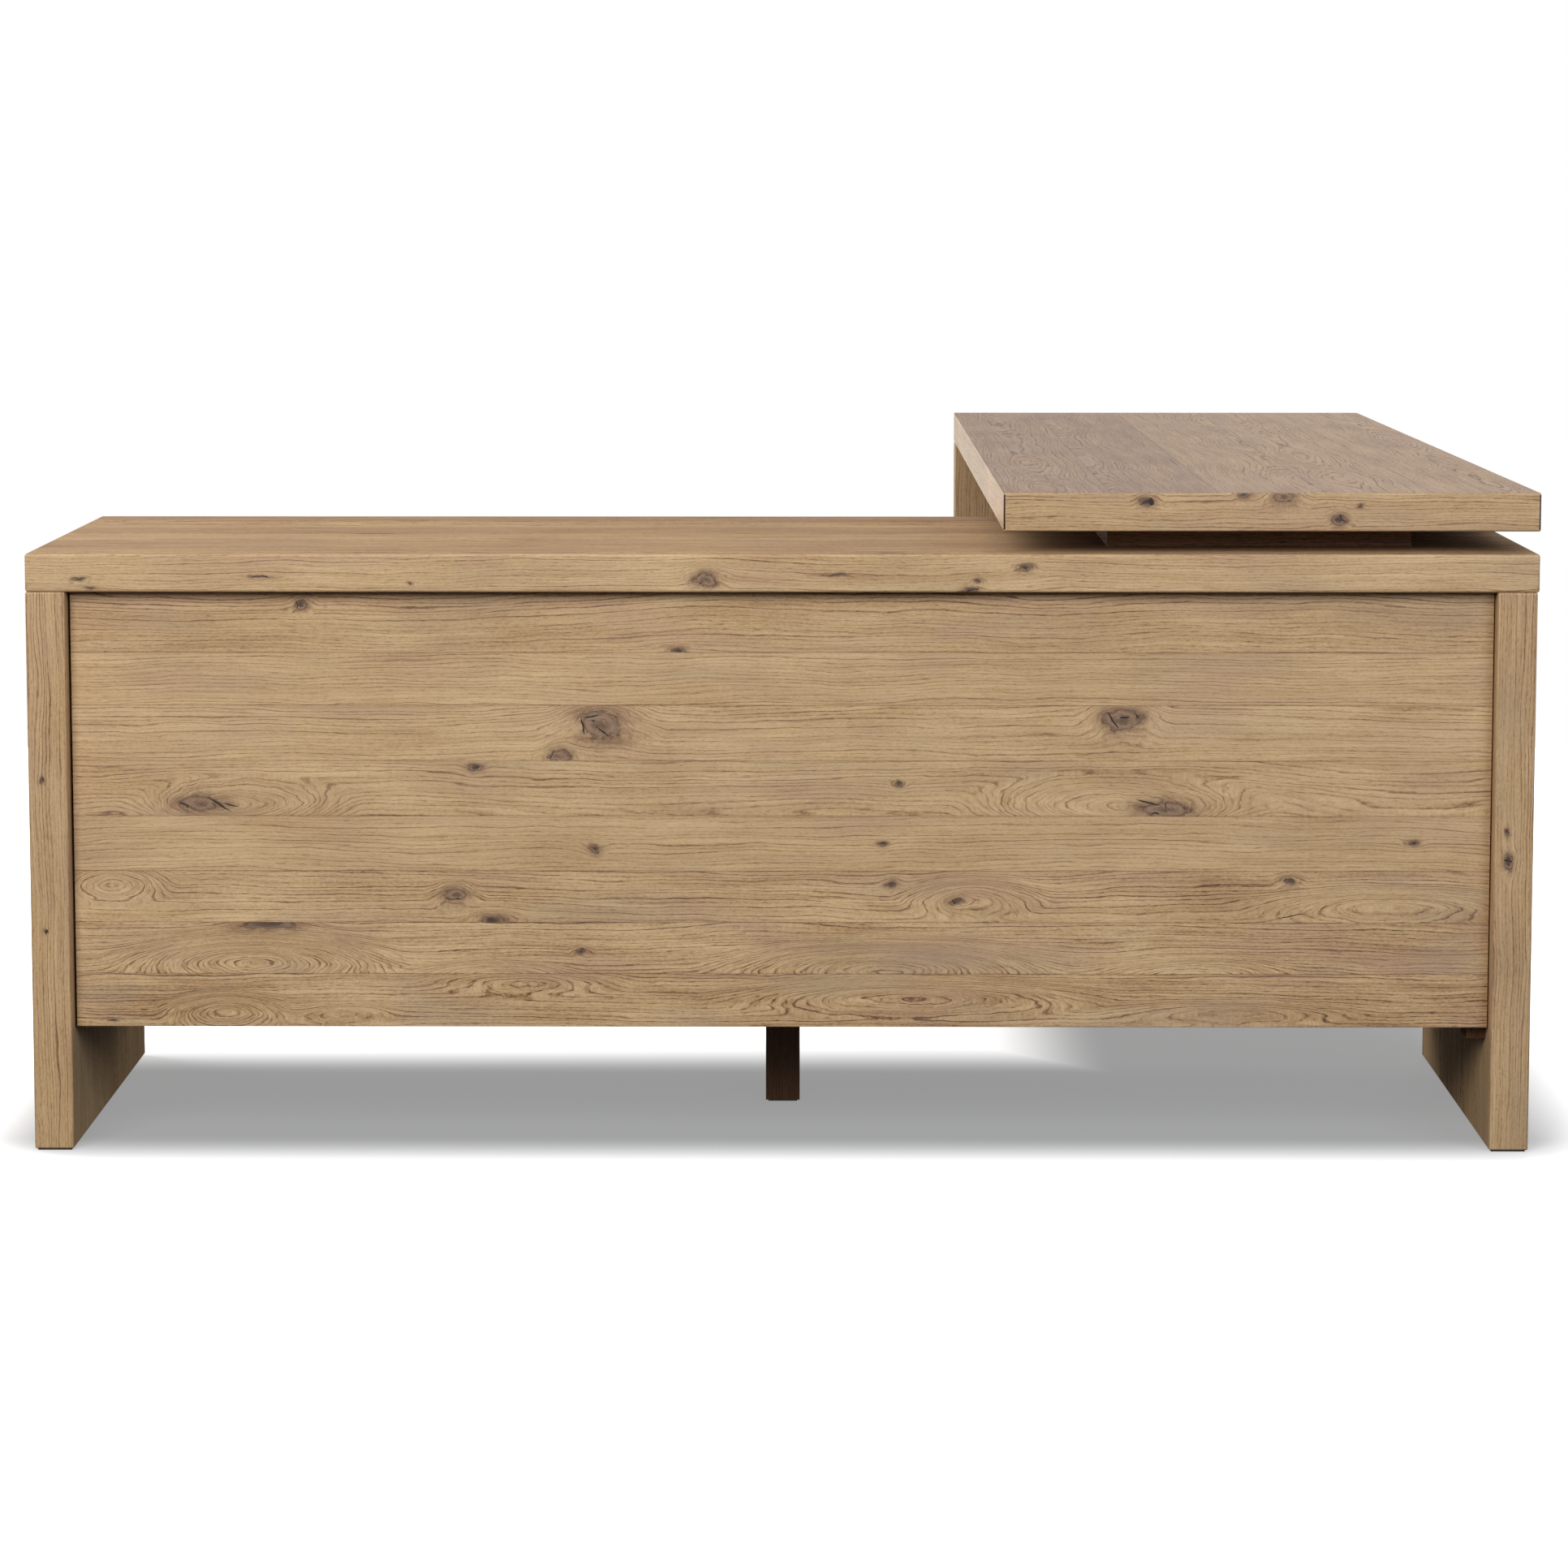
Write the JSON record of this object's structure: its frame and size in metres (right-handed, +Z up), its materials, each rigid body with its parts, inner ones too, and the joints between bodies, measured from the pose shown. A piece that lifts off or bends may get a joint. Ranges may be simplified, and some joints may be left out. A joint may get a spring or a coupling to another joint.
{
  "type": "corner desk",
  "caption": "L-shaped oak corner desk: a desk top on a slab leg and riser block, crossing over a low closed-back storage unit with drawers and a door.",
  "frame": {"origin": "on the floor, at the middle of the whole desk's footprint", "axes": "+X along the storage unit's width, towards the end that carries the desk top; +Y from the storage unit's finished back towards its drawers and the slab leg, along the desk top; +Z up"},
  "size_m": [1.724, 1.524, 0.762],
  "materials": {
    "oak_veneer": "brushed matt lacquer over knotty oak",
    "oak_carcass": "matt lacquer",
    "drawer_board": "sanded and sealed",
    "zinc_steel": "zinc plated",
    "bronzed_metal": "dark bronze, satin",
    "glide_nylon": "moulded, matt",
    "catch_plastic": "moulded, matt"
  },
  "bodies": {
    "frame": {"unit_top": "oak_veneer", "left_side_panel": "oak_veneer", "right_side_panel": "oak_veneer", "back_panel": "oak_veneer", "bottom_panel": "oak_carcass", "left_partition": "oak_carcass", "right_partition": "oak_carcass", "cabinet_shelf": "oak_carcass", "shelf_pins": "zinc_steel", "left_cleat": "oak_carcass", "right_cleat": "oak_carcass", "corner_block": "oak_carcass", "centre_foot": "oak_carcass", "floor_glides": "glide_nylon", "desk_top": "oak_veneer", "slab_leg": "oak_veneer", "riser_block": "oak_carcass", "desk_bolts": "zinc_steel", "threaded_inserts": "zinc_steel", "leg_brackets": "zinc_steel", "bracket_screws": "zinc_steel", "magnetic_catch": "catch_plastic", "frame_hinge_leaves": "bronzed_metal", "hinge_pins": "zinc_steel", "left_upper_drawer_runners": "zinc_steel", "left_file_drawer_runners": "zinc_steel", "centre_upper_drawer_runners": "zinc_steel", "centre_file_drawer_runners": "zinc_steel"},
    "door": {"cabinet_door": "oak_veneer", "door_knob": "bronzed_metal", "door_strike_plate": "zinc_steel", "door_hinge_leaves": "bronzed_metal"},
    "left_upper_drawer": {"left_upper_drawer_front": "oak_veneer", "left_upper_drawer_left_side": "drawer_board", "left_upper_drawer_right_side": "drawer_board", "left_upper_drawer_back": "drawer_board", "left_upper_drawer_bottom": "drawer_board", "left_upper_drawer_knob": "bronzed_metal", "left_upper_drawer_slides": "zinc_steel"},
    "left_file_drawer": {"left_file_drawer_front": "oak_veneer", "left_file_drawer_left_side": "drawer_board", "left_file_drawer_right_side": "drawer_board", "left_file_drawer_back": "drawer_board", "left_file_drawer_bottom": "drawer_board", "left_file_drawer_knob": "bronzed_metal", "left_file_drawer_slides": "zinc_steel"},
    "centre_upper_drawer": {"centre_upper_drawer_front": "oak_veneer", "centre_upper_drawer_left_side": "drawer_board", "centre_upper_drawer_right_side": "drawer_board", "centre_upper_drawer_back": "drawer_board", "centre_upper_drawer_bottom": "drawer_board", "centre_upper_drawer_knob": "bronzed_metal", "centre_upper_drawer_slides": "zinc_steel"},
    "centre_file_drawer": {"centre_file_drawer_front": "oak_veneer", "centre_file_drawer_left_side": "drawer_board", "centre_file_drawer_right_side": "drawer_board", "centre_file_drawer_back": "drawer_board", "centre_file_drawer_bottom": "drawer_board", "centre_file_drawer_knob": "bronzed_metal", "centre_file_drawer_slides": "zinc_steel"}
  },
  "joints": [
    {"name": "left_upper_drawer_slide", "type": "slide", "parent": "frame", "child": "left_upper_drawer", "axis": [0, 1, 0], "range_m": [0, 0.3]},
    {"name": "left_file_drawer_slide", "type": "slide", "parent": "frame", "child": "left_file_drawer", "axis": [0, 1, 0], "range_m": [0, 0.3]},
    {"name": "centre_upper_drawer_slide", "type": "slide", "parent": "frame", "child": "centre_upper_drawer", "axis": [0, 1, 0], "range_m": [0, 0.3]},
    {"name": "centre_file_drawer_slide", "type": "slide", "parent": "frame", "child": "centre_file_drawer", "axis": [0, 1, 0], "range_m": [0, 0.3]},
    {"name": "door_hinge", "type": "hinge", "parent": "frame", "child": "door", "pos_m": [0.8111, -0.2631, 0.39], "axis": [0, 0, -1], "range_deg": [0, 110]}
  ]
}
